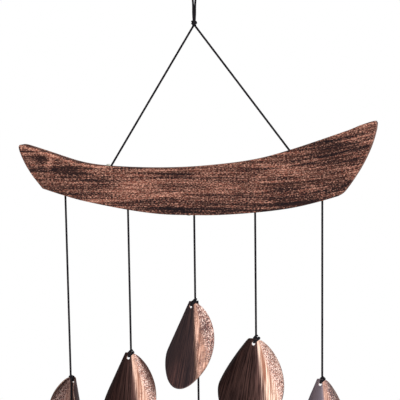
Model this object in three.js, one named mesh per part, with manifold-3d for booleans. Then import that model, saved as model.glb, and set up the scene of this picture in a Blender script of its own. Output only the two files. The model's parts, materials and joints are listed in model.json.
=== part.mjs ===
// Wind chime: a boat-shaped wooden bar hangs from a ring on a two-leg cord, and five cords
// below it each carry three petals of thin sheet metal, curled into half-open cones.
// Millimetres, +Z up, the broad front face of the bar towards -Y.
// Origin: the point inside the top of the ring that rests on the hook.
import * as THREE from 'three';
import { mergeVertices } from 'three/addons/utils/BufferGeometryUtils.js';
import Module from 'manifold-3d';

const wasm = await Module();
wasm.setup();

// ---- Driving dimensions ----------------------------------------------------------------
const UP = new THREE.Vector3(0, 0, 1);
const GAP = 0.3; // clearance between touching pieces
const CORD_RADIUS = 0.7;
const CORD_SIDES = 8;
const PEG_SIDES = 12;
const BALL_SIDES = [12, 8]; // round the upright axis, from pole to pole

// Hanger: ring, doubled cord and the knot where the two legs part
const RING_INNER_RADIUS = 9;
const RING_WIRE_RADIUS = 1.3;
const RING_SIDES = [8, 28]; // round the wire, round the ring
const HANGER_KNOT = new THREE.Vector3(0, 0, -50);
const HANGER_KNOT_SIZE = new THREE.Vector3(2.2, 2.1, 2.7); // half sizes
const LEG_EXIT_BELOW_KNOT = 1.5;
const RUN_SPACING = [0.85, 0.95]; // the doubled cord's half spacing at the knot and above it
const RUN_STRAIGHT = 10; // height of the stretch with that spacing
const TURN_STEP = 30; // degrees between points where the cord rounds the ring's wire
const HANGER_CORD_STEPS = 30;

// Bar: outline of the front face in X and Z, Z measured down from the hanger knot
const BAR_THICKNESS = 16;
const BAR_BEVEL = 0.8;
const TOP_EDGE = [[-146.4, -103], [-129.5, -107.9], [-98.2, -117.4], [-71.5, -120.8], [-33, -121.8],
  [5, -120.1], [47.5, -114.7], [80.6, -106], [127, -90.2], [140, -85], [149.5, -81.8]];
const RIGHT_TIP = [154, -81.4];
const RIGHT_END = [[153, -89.9], [148.2, -105.1], [140, -121.6], [128.2, -139.1]];
const BOTTOM_EDGE = [[122.9, -143.6], [108.5, -148], [91, -152.5], [74.5, -155.6], [51.9, -158.4],
  [24, -160.6], [0, -161.1], [-28, -160.5], [-57, -157], [-92, -150.6], [-111.4, -145.6],
  [-129.4, -140.1]];
const LEFT_END = [[-135.4, -132.9], [-140, -126.8], [-144.8, -119], [-149.2, -109.2],
  [-150.4, -103.9]];
const LEG_HOLES = [[-71.5, -120.8], [80.6, -106]];
const HOLE_RADIUS = 1.5;
const HOLE_DEPTH = 10;
const BEAD = { shift: -2.9, lift: 0.6, half: [2, 1.5, 1.3] }; // glue bead beside the left leg
const BEAD_NECK = { shift: -1, radius: 0.5, reach: 1 }; // joins the bead to the plug

// Petals: an oval blank, curled into a cone whose point lies above the oval's tip
const PETAL_HALF_LENGTH = 37.5;
const PETAL_THICKNESS = 0.8;
const APEX_ABOVE_TIP = 7.2;
const PETAL_HOLE_FROM_TIP = 4.4;
const PETAL_HOLE_RADIUS = 1.6;
const PETAL_COLUMNS = 22; // straight lines of the cone from one side of the blank to the other
const OUTERMOST_COLUMN = THREE.MathUtils.degToRad(85);

// Petal knots: a ball inside the petal's tip and a loop through its hole
const KNOT_RADIUS = 2.4;
const KNOT_BELOW_TIP = 0.3;
const LOOP_RADIUS = 2.35;
const LOOP_CORD_RADIUS = 0.6;
const LOOP_SIDES = [6, 14]; // round the cord, round the loop
const KNOT_SIDES = [10, 6];
const CORD_IN_SHIFT = -0.3; // the cord enters left of the knot's middle
const CORD_OUT_SHIFT = 0.9; // and leaves right of it,
const CORD_OUT_BACK = 1; // on the petal's open side

// Strands: the hole in the bar's underside, the middle of the first knot (X and Z as above),
// how far each lower cord drifts to the right, and for each petal its turn about the cord,
// the cone's half angle, the blank's half width and its sideways lean
const PITCH = 94; // from one knot of a strand to the next
const STRANDS = [
  { hole: [-111.4, -145.6], knot: [-107, -300.7], drift: 0, petals: [
    { turn: 143, curl: 28, halfWidth: 25, lean: 4.1 },
    { turn: -22, curl: 32, halfWidth: 27, lean: 2 },
    { turn: 28, curl: 33, halfWidth: 27, lean: 0 }] },
  { hole: [-57, -157], knot: [-54.3, -277.6], drift: 0, petals: [
    { turn: -23.5, curl: 32, halfWidth: 28.5, lean: 1.8 },
    { turn: 24, curl: 34, halfWidth: 27, lean: 0 },
    { turn: -150, curl: 32, halfWidth: 27, lean: 0 }] },
  { hole: [0, -161.1], knot: [1.2, -232.8], drift: 1.8, petals: [
    { turn: -42, curl: 34.4, halfWidth: 28.1, lean: 5.7 },
    { turn: 18, curl: 33, halfWidth: 27, lean: 0 },
    { turn: -12, curl: 31, halfWidth: 28, lean: 0 }] },
  { hole: [51.9, -158.4], knot: [53.2, -262.7], drift: 0, petals: [
    { turn: -20, curl: 36.1, halfWidth: 32.2, lean: 3.2 },
    { turn: 160, curl: 32, halfWidth: 27, lean: 0 },
    { turn: 20, curl: 31, halfWidth: 27, lean: 0 }] },
  { hole: [108.5, -148], knot: [109.3, -296.5], drift: 0, petals: [
    { turn: -25, curl: 26.4, halfWidth: 28.1, lean: 0.1 },
    { turn: 16, curl: 32, halfWidth: 27, lean: -2 },
    { turn: -28, curl: 31, halfWidth: 27, lean: 0 }] },
];

// ---- Finishes --------------------------------------------------------------------------
const finish = (name, color, roughness, metalness) =>
  () => new THREE.MeshStandardMaterial({ name, color, roughness, metalness });
const steel = finish('steel', 0x8d8a88, 0.3, 0.9);
const cordFibre = finish('cord', 0x17171d, 0.85, 0);
const wood = finish('wood', 0x4a342e, 0.55, 0.1);
const glue = finish('glue', 0xcfd0c0, 0.25, 0);
const copper = finish('copper', 0x8a5442, 0.35, 0.9);

// ---- Helpers ---------------------------------------------------------------------------
const chime = new THREE.Group();

function addMesh(name, geometry, material) {
  const mesh = new THREE.Mesh(geometry, material());
  mesh.name = name;
  chime.add(mesh);
  return mesh;
}

// A closed geometry as a solid that can be joined and cut
function solidFrom(geometry) {
  const bare = new THREE.BufferGeometry();
  bare.setAttribute('position', geometry.getAttribute('position'));
  if (geometry.index) bare.setIndex(geometry.index);
  const merged = mergeVertices(bare, 1e-4);
  const mesh = new wasm.Mesh({
    numProp: 3,
    vertProperties: new Float32Array(merged.getAttribute('position').array),
    triVerts: new Uint32Array(merged.index.array),
  });
  return new wasm.Manifold(mesh);
}

function geometryFrom(solid) {
  const mesh = solid.getMesh();
  const geometry = new THREE.BufferGeometry();
  geometry.setAttribute('position', new THREE.BufferAttribute(mesh.vertProperties, 3));
  geometry.setIndex(new THREE.BufferAttribute(mesh.triVerts, 1));
  return geometry;
}

function roundSection(radius, sides) {
  const points = [];
  for (let i = 0; i < sides; i += 1) {
    const angle = (2 * Math.PI * i) / sides;
    points.push(new THREE.Vector2(radius * Math.cos(angle), radius * Math.sin(angle)));
  }
  return new THREE.Shape(points);
}

function cordAlong(path, steps) {
  return new THREE.ExtrudeGeometry(roundSection(CORD_RADIUS, CORD_SIDES), { steps, extrudePath: path });
}

const straightCord = (from, to) => cordAlong(new THREE.LineCurve3(from, to), 1);

// A round peg with its length along Z, from z = low to z = high
function peg(radius, low, high) {
  const geometry = new THREE.CylinderGeometry(radius, radius, high - low, PEG_SIDES);
  return geometry.rotateX(Math.PI / 2).translate(0, 0, (low + high) / 2);
}

// An oval ball with its poles on the Z axis
function ovalBall(halfSizes) {
  return new THREE.SphereGeometry(1, ...BALL_SIDES).rotateX(Math.PI / 2).scale(...halfSizes);
}

// A point of the bar: X and height below the hanger knot, in the middle of its thickness
const barPoint = ([x, z]) => new THREE.Vector3(x, 0, HANGER_KNOT.z + z);

// ---- Hanger ----------------------------------------------------------------------------
const wireCentre = new THREE.Vector3(0, 0, -2 * RING_INNER_RADIUS - RING_WIRE_RADIUS);

function addHanger() {
  // The ring stands across the bar, so the doubled cord's two runs lie side by side in front view
  const wireLine = RING_INNER_RADIUS + RING_WIRE_RADIUS;
  const ring = new THREE.TorusGeometry(wireLine, RING_WIRE_RADIUS, ...RING_SIDES);
  addMesh('hanging_ring', ring.rotateY(Math.PI / 2), steel).position.z = -RING_INNER_RADIUS;

  const turnRadius = RING_WIRE_RADIUS + CORD_RADIUS + GAP;
  const runEnd = HANGER_KNOT.z + HANGER_KNOT_SIZE.z + GAP;
  const run = RUN_SPACING.map((x, i) => new THREE.Vector3(x, 0, runEnd + i * RUN_STRAIGHT));
  const route = [...run];
  for (let angle = 0; angle <= 180; angle += TURN_STEP) {
    const a = THREE.MathUtils.degToRad(angle);
    route.push(new THREE.Vector3(turnRadius * Math.cos(a), 0, wireCentre.z + turnRadius * Math.sin(a)));
  }
  route.push(...run.reverse().map(({ x, y, z }) => new THREE.Vector3(-x, y, z)));
  const doubled = new THREE.CatmullRomCurve3(route);
  addMesh('hanger_cord', cordAlong(doubled, HANGER_CORD_STEPS), cordFibre);
  addMesh('hanger_knot', ovalBall(HANGER_KNOT_SIZE), cordFibre).position.copy(HANGER_KNOT);
}

function addLegs() {
  LEG_HOLES.forEach((hole, i) => {
    const side = i === 0 ? 'left' : 'right';
    const mouth = barPoint(hole);
    const exit = HANGER_KNOT.clone();
    exit.z -= LEG_EXIT_BELOW_KNOT;
    const along = mouth.clone().sub(exit).normalize();
    const start = exit.clone().addScaledVector(along, HANGER_KNOT_SIZE.x);
    const end = mouth.clone().addScaledVector(along, -2 * CORD_RADIUS);
    addMesh(`${side}_leg_cord`, straightCord(start, end), cordFibre);

    // Glue plug in the hole, and on the left the bead that squeezed out of it
    let plug = solidFrom(peg(HOLE_RADIUS - GAP, GAP - HOLE_DEPTH, -2 * GAP));
    if (side === 'left') {
      const bead = ovalBall(BEAD.half).translate(BEAD.shift, 0, BEAD.lift);
      const cap = solidFrom(bead).trimByPlane([...UP], BEAD.lift);
      const neck = peg(BEAD_NECK.radius, -BEAD_NECK.reach, BEAD_NECK.reach);
      plug = plug.add(solidFrom(neck.translate(BEAD_NECK.shift, 0, 0))).add(cap);
    }
    addMesh(`${side}_leg_plug`, geometryFrom(plug), glue).position.copy(mouth);
  });
}

// ---- Bar -------------------------------------------------------------------------------
function addBar() {
  const at = ([x, z]) => new THREE.Vector2(x, HANGER_KNOT.z + z);
  const outline = new THREE.Shape();
  outline.moveTo(...at(TOP_EDGE[0]));
  outline.splineThru(TOP_EDGE.slice(1).map(at));
  outline.lineTo(...at(RIGHT_TIP));
  outline.splineThru([...RIGHT_END, BOTTOM_EDGE[0]].map(at));
  outline.splineThru(BOTTOM_EDGE.slice(1).map(at));
  outline.splineThru(LEFT_END.map(at));
  const slab = new THREE.ExtrudeGeometry(outline, {
    depth: BAR_THICKNESS - 2 * BAR_BEVEL,
    curveSegments: 2,
    bevelThickness: BAR_BEVEL,
    bevelSize: BAR_BEVEL,
    bevelOffset: -BAR_BEVEL,
    bevelSegments: 1,
  });
  slab.rotateX(Math.PI / 2).translate(0, BAR_THICKNESS / 2 - BAR_BEVEL, 0);

  let bar = solidFrom(slab);
  const overrun = 4; // each cutter stands out of the wood
  LEG_HOLES.forEach((hole) => {
    const { x, z } = barPoint(hole);
    bar = bar.subtract(solidFrom(peg(HOLE_RADIUS, -HOLE_DEPTH, overrun).translate(x, 0, z)));
  });
  STRANDS.forEach(({ hole }) => {
    const { x, z } = barPoint(hole);
    bar = bar.subtract(solidFrom(peg(HOLE_RADIUS, -overrun, HOLE_DEPTH).translate(x, 0, z)));
  });
  addMesh('top_bar', geometryFrom(bar), wood);
}

// ---- Petals ----------------------------------------------------------------------------
// The blank is measured in polar coordinates about the cone's point: at polar angle phi its edge
// lies at two distances, near and far. The angle round the cone is phi / sin(half angle).
function petalForm(curlDegrees, halfWidth) {
  const curl = THREE.MathUtils.degToRad(curlDegrees);
  const centre = APEX_ABOVE_TIP + PETAL_HALF_LENGTH;
  const widest = Math.atan(halfWidth / Math.sqrt(centre ** 2 - PETAL_HALF_LENGTH ** 2));

  // Unit vector along the cone's straight line at polar angle phi, and the outward normal there
  function lineAt(phi) {
    const round = phi / Math.sin(curl);
    const [s, c] = [Math.sin(round), Math.cos(round)];
    return {
      along: new THREE.Vector3(Math.sin(curl) * s, -Math.sin(curl) * c, -Math.cos(curl)),
      normal: new THREE.Vector3(Math.cos(curl) * s, -Math.cos(curl) * c, Math.sin(curl)),
    };
  }

  function edgeDistances(phi) {
    const a = (Math.cos(phi) / PETAL_HALF_LENGTH) ** 2 + (Math.sin(phi) / halfWidth) ** 2;
    const b = (centre * Math.cos(phi)) / PETAL_HALF_LENGTH ** 2;
    const c = (centre / PETAL_HALF_LENGTH) ** 2 - 1;
    const root = Math.sqrt(Math.max(0, b * b - a * c));
    return [(b - root) / a, (b + root) / a];
  }

  const columns = [];
  for (let i = 0; i <= PETAL_COLUMNS; i += 1) {
    const t = OUTERMOST_COLUMN * ((2 * i) / PETAL_COLUMNS - 1);
    columns.push(widest * Math.sin(t));
  }

  // Middle of the sheet's area, for the way the petal hangs
  const moment = new THREE.Vector3();
  let area = 0;
  for (let i = 0; i < PETAL_COLUMNS; i += 1) {
    const phi = (columns[i] + columns[i + 1]) / 2;
    const width = columns[i + 1] - columns[i];
    const [near, far] = edgeDistances(phi);
    moment.addScaledVector(lineAt(phi).along, ((far ** 3 - near ** 3) / 3) * width);
    area += ((far ** 2 - near ** 2) / 2) * width;
  }
  const hole = lineAt(0).along.multiplyScalar(APEX_ABOVE_TIP + PETAL_HOLE_FROM_TIP);
  const hang = moment.divideScalar(area).sub(hole);
  const tilt = Math.atan2(-hang.y, -hang.z); // turns the middle straight below the hole
  const knot = new THREE.Vector3(0, 0, -APEX_ABOVE_TIP * Math.cos(curl) - KNOT_BELOW_TIP);
  return { lineAt, edgeDistances, columns, hole, tilt, knot };
}

// The sheet, with the hole's middle at the origin
function petalGeometry(form) {
  const positions = [];
  form.columns.forEach((phi) => {
    const { along, normal } = form.lineAt(phi);
    const [near, far] = form.edgeDistances(phi);
    const section = [[near, 1], [far, 1], [far, -1], [near, -1]];
    section.forEach(([distance, side]) => {
      const point = along.clone().multiplyScalar(distance);
      point.addScaledVector(normal, (side * PETAL_THICKNESS) / 2).sub(form.hole);
      positions.push(...point);
    });
  });
  const index = [0, 2, 1, 0, 3, 2];
  for (let i = 0; i < PETAL_COLUMNS; i += 1) {
    for (let k = 0; k < 4; k += 1) {
      const [a, b] = [4 * i + k, 4 * i + ((k + 1) % 4)];
      index.push(a, b, b + 4, a, b + 4, a + 4);
    }
  }
  const last = 4 * PETAL_COLUMNS;
  index.push(last, last + 1, last + 2, last, last + 2, last + 3);
  const sheet = new THREE.BufferGeometry();
  sheet.setAttribute('position', new THREE.Float32BufferAttribute(positions, 3));
  sheet.setIndex(index);

  const cutter = peg(PETAL_HOLE_RADIUS, -PETAL_HOLE_RADIUS, PETAL_HOLE_RADIUS);
  cutter.applyQuaternion(new THREE.Quaternion().setFromUnitVectors(UP, form.lineAt(0).normal));
  return geometryFrom(solidFrom(sheet).subtract(solidFrom(cutter)));
}

// Ball and loop, in the same frame as the petal
function petalKnotGeometry(form) {
  const ball = new THREE.SphereGeometry(KNOT_RADIUS, ...KNOT_SIDES);
  ball.translate(...form.knot.clone().sub(form.hole));
  const stripFar = APEX_ABOVE_TIP + PETAL_HOLE_FROM_TIP - PETAL_HOLE_RADIUS;
  const stripMiddle = form.lineAt(0).along.multiplyScalar((APEX_ABOVE_TIP + stripFar) / 2);
  const loop = new THREE.TorusGeometry(LOOP_RADIUS, LOOP_CORD_RADIUS, ...LOOP_SIDES);
  loop.rotateY(Math.PI / 2).translate(...stripMiddle.sub(form.hole));
  return geometryFrom(solidFrom(ball).add(solidFrom(loop)));
}

// ---- Strands ---------------------------------------------------------------------------
function addStrand(strand, number) {
  const mouth = barPoint(strand.hole);
  const plug = peg(HOLE_RADIUS - GAP, 3 * GAP, HOLE_DEPTH - GAP);
  addMesh(`strand${number}_plug`, plug, glue).position.copy(mouth);

  let cordStart = mouth.clone();
  cordStart.z += GAP;
  const knotMiddle = barPoint(strand.knot);
  strand.petals.forEach((petal, i) => {
    const level = i + 1;
    const cordEnd = knotMiddle.clone();
    cordEnd.x += CORD_IN_SHIFT;
    cordEnd.z += KNOT_RADIUS + GAP;
    addMesh(`strand${number}_cord${level}`, straightCord(cordStart, cordEnd), cordFibre);

    const form = petalForm(petal.curl, petal.halfWidth);
    const pose = new THREE.Euler(
      form.tilt, THREE.MathUtils.degToRad(petal.lean), THREE.MathUtils.degToRad(petal.turn), 'YZX');
    const toKnot = form.knot.clone().sub(form.hole).applyEuler(pose);
    const pieces = [
      addMesh(`strand${number}_petal${level}`, petalGeometry(form), copper),
      addMesh(`strand${number}_knot${level}`, petalKnotGeometry(form), cordFibre),
    ];
    pieces.forEach((piece) => {
      piece.rotation.copy(pose);
      piece.position.copy(knotMiddle).sub(toKnot);
    });

    const openSide = new THREE.Vector3(0, 1, 0).applyAxisAngle(UP, pose.z);
    cordStart = knotMiddle.clone().addScaledVector(openSide, CORD_OUT_BACK);
    cordStart.x += CORD_OUT_SHIFT;
    cordStart.z -= KNOT_RADIUS + 2 * GAP;
    knotMiddle.x += CORD_OUT_SHIFT + strand.drift - CORD_IN_SHIFT;
    knotMiddle.z -= PITCH;
  });
}

addHanger();
addBar();
addLegs();
STRANDS.forEach((strand, i) => addStrand(strand, i + 1));

export default chime;
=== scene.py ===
import json
import math

import bmesh
import bpy
from mathutils import Matrix, Vector, noise


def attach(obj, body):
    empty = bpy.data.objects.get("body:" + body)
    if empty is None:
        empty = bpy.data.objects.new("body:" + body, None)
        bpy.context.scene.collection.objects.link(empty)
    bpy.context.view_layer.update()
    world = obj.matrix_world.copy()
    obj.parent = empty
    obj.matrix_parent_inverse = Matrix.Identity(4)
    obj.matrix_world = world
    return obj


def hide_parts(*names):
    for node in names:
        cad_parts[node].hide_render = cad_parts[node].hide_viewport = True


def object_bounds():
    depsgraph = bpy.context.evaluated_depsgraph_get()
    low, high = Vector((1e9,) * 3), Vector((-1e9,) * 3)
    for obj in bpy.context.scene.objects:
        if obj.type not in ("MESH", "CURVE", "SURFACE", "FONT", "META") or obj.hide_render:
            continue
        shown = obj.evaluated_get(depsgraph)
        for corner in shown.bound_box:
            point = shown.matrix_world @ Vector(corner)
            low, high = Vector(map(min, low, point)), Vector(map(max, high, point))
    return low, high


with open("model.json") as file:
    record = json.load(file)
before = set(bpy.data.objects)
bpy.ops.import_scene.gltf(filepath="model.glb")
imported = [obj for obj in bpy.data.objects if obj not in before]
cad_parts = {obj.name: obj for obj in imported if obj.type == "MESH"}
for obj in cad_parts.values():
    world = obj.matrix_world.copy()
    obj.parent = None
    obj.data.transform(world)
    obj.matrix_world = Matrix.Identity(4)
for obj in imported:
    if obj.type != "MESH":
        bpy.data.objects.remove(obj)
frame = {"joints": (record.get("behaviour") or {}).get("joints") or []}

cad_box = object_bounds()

# Wind chime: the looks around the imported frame. Metres, +Z up, the bar's front face towards -Y.

MM = 0.001
LEVELS = (1, 2, 3)
JOINT_PLACE = {j["name"]: Vector(j["pos_m"]) for j in frame["joints"]}

# ---- Driving dimensions, in millimetres unless a name says otherwise ----------------------
CORD_RADIUS = 0.7
CORD_FUZZ = 1.24  # the braid's loose fibres thicken what is seen
HANGER_KNOT = JOINT_PLACE["chime_twist"]
LEG_EXIT_BELOW_KNOT = 1.5
RING_WIRE_RADIUS = 1.3
RING_INNER_RADIUS = 9

BAR_THICKNESS = 16
# Outline of the bar's front face: X, and Z from the middle of the hanger knot
TOP_EDGE = [(-146.4, -103), (-129.5, -107.9), (-98.2, -117.4), (-71.5, -120.8), (-33, -121.8),
            (5, -120.1), (47.5, -114.7), (80.6, -106), (127, -90.2), (140, -85), (149.5, -81.8)]
RIGHT_TIP = (154, -81.4)
RIGHT_END = [(153, -89.9), (148.2, -105.1), (140, -121.6), (128.2, -139.1)]
BOTTOM_EDGE = [(122.9, -143.6), (108.5, -148), (91, -152.5), (74.5, -155.6), (51.9, -158.4),
               (24, -160.6), (0, -161.1), (-28, -160.5), (-57, -157), (-92, -150.6), (-111.4, -145.6),
               (-129.4, -140.1)]
LEFT_END = [(-135.4, -132.9), (-140, -126.8), (-144.8, -119), (-149.2, -109.2),
            (-150.4, -103.9)]
LEG_HOLES = [(-71.5, -120.8), (80.6, -106)]
HOLE_RADIUS = 1.5
HOLE_DEPTH = 10

PETAL_HALF_LENGTH = 37.5
PETAL_THICKNESS = 0.8
APEX_ABOVE_TIP = 7.2
PETAL_HOLE_FROM_TIP = 4.4
PETAL_HOLE_RADIUS = 1.6
BLANK_MIDDLE = APEX_ABOVE_TIP + PETAL_HALF_LENGTH  # from the cone's point
HOLE_AT = APEX_ABOVE_TIP + PETAL_HOLE_FROM_TIP
KNOT_BELOW_TIP = 0.3
CORD_IN_SHIFT = -0.3  # the cord enters left of the knot's middle
CORD_OUT_SHIFT = 0.9  # and leaves right of it,
CORD_OUT_BACK = 1  # on the petal's open side

# Each petal: turn about its cord, the cone's half angle, the blank's half width and its lean
# sideways, its two soft creases (how sharp, and at what polar angle), how grey the painted shade
# short of its front crease is and how bright its other side. Angles are in degrees.
PETAL_TRAITS = ("turn", "curl", "half_width", "lean", "crease", "crease_at", "back_crease",
                "back_crease_at", "haze", "polish")
PETALS = {place: dict(zip(PETAL_TRAITS, traits)) for place, traits in {
    (1, 1): (143, 28, 25, 4.1, 10, 9, 22, -24.5, 0.08, 0.7),
    (1, 2): (-22, 32, 27, 2, 20, 9, 12, -27, 0.1, 0.9),
    (1, 3): (28, 33, 27, 0, 20, -8, 12, 28, 0.3, 0.8),
    (2, 1): (-23.5, 32, 28.5, 1.8, 20, 14.8, 20, -25, 0.0, 1.2),
    (2, 2): (24, 34, 27, 0, 20, -10, 15, 27, 0.2, 1.0),
    (2, 3): (-150, 32, 27, 0, 20, 10, 12, -28, 0.3, 0.7),
    (3, 1): (-42, 34.4, 28.1, 5.7, 28, 16.2, 21, -26, 0.16, 0.6),
    (3, 2): (18, 33, 27, 0, 20, -9, 15, 26, 0.3, 0.9),
    (3, 3): (-12, 31, 28, 0, 20, 10, 14, -28, 0.1, 1.1),
    (4, 1): (-20, 36.1, 32.2, 3.2, 30, 15.9, 30, -32, 0.0, 1.6),
    (4, 2): (160, 32, 27, 0, 20, 9, 12, -27, 0.4, 0.8),
    (4, 3): (20, 31, 27, 0, 20, -10, 15, 28, 0.1, 1.0),
    (5, 1): (-25, 26.4, 28.1, 0.1, 30, 10.6, 17, -29, 1.0, 0.55),
    (5, 2): (16, 32, 27, -2, 20, -8, 12, 27, 0.2, 0.9),
    (5, 3): (-28, 31, 27, 0, 20, 11, 14, -28, 0.3, 0.8),
}.items()}
STRANDS = (1, 2, 3, 4, 5)

# ---- Camera --------------------------------------------------------------------------------
CAMERA_TARGET = Vector((0.005, 0, -0.1987))
CAMERA_DISTANCE = 1.8
CAMERA_AZIMUTH = math.radians(10)
CAMERA_RISE = math.tan(math.radians(3.8))
VIEW_WIDTH = 0.336  # across the picture at the target
SENSOR_WIDTH = 36


def new_object(name, data):
    made = bpy.data.objects.new(name, data)
    bpy.context.scene.collection.objects.link(made)
    return made


def make_camera():
    data = bpy.data.cameras.new("camera")
    data.sensor_width = SENSOR_WIDTH
    data.lens = SENSOR_WIDTH * CAMERA_DISTANCE / VIEW_WIDTH
    camera = new_object("camera", data)
    away = Vector((math.sin(CAMERA_AZIMUTH), -math.cos(CAMERA_AZIMUTH), CAMERA_RISE))
    camera.location = CAMERA_TARGET + away * CAMERA_DISTANCE
    camera.rotation_mode = "QUATERNION"
    camera.rotation_quaternion = (-away).to_track_quat("-Z", "Y")
    bpy.context.scene.camera = camera


make_camera()

# ---- Material helpers ------------------------------------------------------------------------
NOISE_MIDDLE = 0.5


class Shader:
    """A material's node tree, built link by link."""

    def __init__(self, name):
        self.material = bpy.data.materials.new(name)
        self.material.use_nodes = True
        self.tree = self.material.node_tree
        self.surface = self.tree.nodes["Principled BSDF"]

    def node(self, kind, **settings):
        made = self.tree.nodes.new(kind)
        for key, value in settings.items():
            setattr(made, key, value)
        return made

    def feed(self, socket, value):
        if isinstance(value, bpy.types.NodeSocket):
            self.tree.links.new(value, socket)
        else:
            socket.default_value = value

    def math(self, operation, a, b):
        made = self.node("ShaderNodeMath", operation=operation)
        self.feed(made.inputs[0], a)
        self.feed(made.inputs[1], b)
        return made.outputs[0]

    def times(self, a, b):
        return self.math("MULTIPLY", a, b)

    def total(self, first, *others):
        for value in others:
            first = self.math("ADD", first, value)
        return first

    def swing(self, value, amount):
        """A noise's distance from its middle, times amount."""
        return self.times(self.math("SUBTRACT", value, NOISE_MIDDLE), amount)

    def ramp(self, value, low, high, to_low=0.0, to_high=1.0):
        """value, moved smoothly from low..high to to_low..to_high."""
        made = self.node("ShaderNodeMapRange", interpolation_type="SMOOTHSTEP")
        for socket, given in zip(made.inputs, (value, low, high, to_low, to_high)):
            self.feed(socket, given)
        return made.outputs[0]

    def attribute(self, name):
        return self.node("ShaderNodeAttribute", attribute_name=name).outputs["Fac"]

    def place(self, scale=(1, 1, 1), shift=(0, 0, 0)):
        """The point in the row frame, at rest, stretched and shifted."""
        point = self.node("ShaderNodeTexCoord").outputs["Object"]
        mapping = self.node("ShaderNodeMapping")
        self.feed(mapping.inputs["Vector"], point)
        mapping.inputs["Scale"].default_value = scale
        mapping.inputs["Location"].default_value = shift
        return mapping.outputs[0]

    def along_grain(self, rise, scale):
        """The point at rest, stretched, its height counted from the grain line it lies on."""
        split = self.node("ShaderNodeSeparateXYZ")
        self.feed(split.inputs[0], self.node("ShaderNodeTexCoord").outputs["Object"])
        x, y, z = split.outputs
        height = self.math("SUBTRACT", z, rise)
        return self.combine(*(self.times(v, k) for v, k in zip((x, y, height), scale)))

    def combine(self, x, y, z):
        made = self.node("ShaderNodeCombineXYZ")
        for socket, value in zip(made.inputs, (x, y, z)):
            self.feed(socket, value)
        return made.outputs[0]

    def noise(self, vector, scale, detail=2.0, roughness=0.5, distortion=0.0):
        made = self.node("ShaderNodeTexNoise")
        self.feed(made.inputs["Vector"], vector)
        made.inputs["Scale"].default_value = scale
        made.inputs["Detail"].default_value = detail
        made.inputs["Roughness"].default_value = roughness
        made.inputs["Distortion"].default_value = distortion
        return made.outputs["Fac"]

    def mix(self, amount, a, b):
        made = self.node("ShaderNodeMix", data_type="RGBA")
        self.feed(made.inputs["Factor"], amount)
        for socket, value in ((made.inputs["A"], a), (made.inputs["B"], b)):
            self.feed(socket, value if isinstance(value, bpy.types.NodeSocket) else (*value, 1))
        return made.outputs["Result"]

    def bump(self, height, distance):
        made = self.node("ShaderNodeBump")
        made.inputs["Distance"].default_value = distance
        self.feed(made.inputs["Height"], height)
        self.feed(self.surface.inputs["Normal"], made.outputs[0])

    def set(self, **inputs):
        names = {"color": "Base Color", "roughness": "Roughness", "metallic": "Metallic",
                 "specular": "Specular IOR Level"}
        for key, value in inputs.items():
            if isinstance(value, tuple):
                value = (*value, 1)
            self.feed(self.surface.inputs[names[key]], value)


# ---- Materials -------------------------------------------------------------------------------
# Depth of the fine relief each material adds, in metres
WOOD_RELIEF = 0.0004
COPPER_RELIEF = 0.00006
CORD_RELIEF = 0.00008
STEEL_RELIEF = 0.00002

# Wood: noise cells to a metre along, into and across the grain, and how far each steers the copper
GRAIN_CELLS, GRAIN_PULL = (14, 40, 330), 1.1
STREAK_CELLS, STREAK_PULL = (26, 90, 780), 2.6
DUST_CELLS, DUST_PULL = (600, 1100, 1500), 3.2
RUB_AND_SHADE_PULL = 0.3
RUBBED_FROM, RUBBED_FULL = -0.45, 1.0
STAIN = (0.018, 0.011, 0.013), (0.05, 0.022, 0.018)
RUBBED_COPPER = (0.4, 0.135, 0.09), (1.0, 0.53, 0.38)
WOOD_SPECULAR = 0.1

# Copper sheet: noise cells across half the blank and along all of it, then cells to a metre
LINE_CELLS = (34, 1.6)
FINE_LINE_CELLS = (90, 9)
BLOTCH_CELLS = (7, 5)
GRIT_STRETCH = (1, 1, 0.8)
GRIT_CELLS = 1250
FLECK_CELLS = 1200
BRIGHT_COPPER = (0.32, 0.14, 0.09)
GLEAM = (0.86, 0.55, 0.42), (1.0, 0.76, 0.6)  # at an ordinary polish and at the highest
PALE_COPPER = (0.42, 0.21, 0.16), (0.95, 0.74, 0.64)
INSIDE_COPPER = (0.30, 0.17, 0.16)
INSIDE_SHARE = 0.45
# Dark colours: the first makes both the oxide spots and the painted shade short of each petal's front crease,
# the far and grey ones are painted shade only, and the brushed one draws lines in both.
PATINA_AND_SHADE = (0.02, 0.009, 0.011), (0.26, 0.125, 0.105)
FAR_PAINTED_SHADE = (0.022, 0.01, 0.011)
BRUSHED_PATINA = (0.24, 0.14, 0.13)
GREY_PAINTED_SHADE = (0.42, 0.36, 0.42)


def wood_material():
    """Dark stained wood, dry-brushed with copper along the grain."""
    s = Shader("rubbed_wood")
    rise = s.attribute("grain_rise")
    grain = s.noise(s.along_grain(rise, GRAIN_CELLS), 1, detail=4, roughness=0.6, distortion=0.8)
    streak = s.noise(s.along_grain(rise, STREAK_CELLS), 1, detail=3, roughness=0.65, distortion=0.4)
    dust = s.noise(s.along_grain(rise, DUST_CELLS), 1, detail=1)
    flecks = s.noise(s.place((0.7, 1, 1), (5, 3, 8)), 1300, detail=1)
    density = s.total(s.swing(grain, GRAIN_PULL), s.swing(streak, STREAK_PULL), s.swing(dust, DUST_PULL),
                      s.times(s.attribute("rub_and_shade"), RUB_AND_SHADE_PULL))
    rubbed = s.ramp(density, RUBBED_FROM, RUBBED_FULL)
    stain = s.mix(s.ramp(grain, 0.35, 0.65), *STAIN)
    copper = s.mix(s.ramp(flecks, 0.4, 0.62), *RUBBED_COPPER)
    s.set(color=s.mix(rubbed, stain, copper), metallic=s.times(rubbed, 0.3),
          roughness=s.ramp(rubbed, 0, 1, 0.75, 0.55), specular=WOOD_SPECULAR)
    s.bump(s.total(s.times(grain, 0.6), s.times(dust, 0.3)), WOOD_RELIEF)
    return s.material


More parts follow.
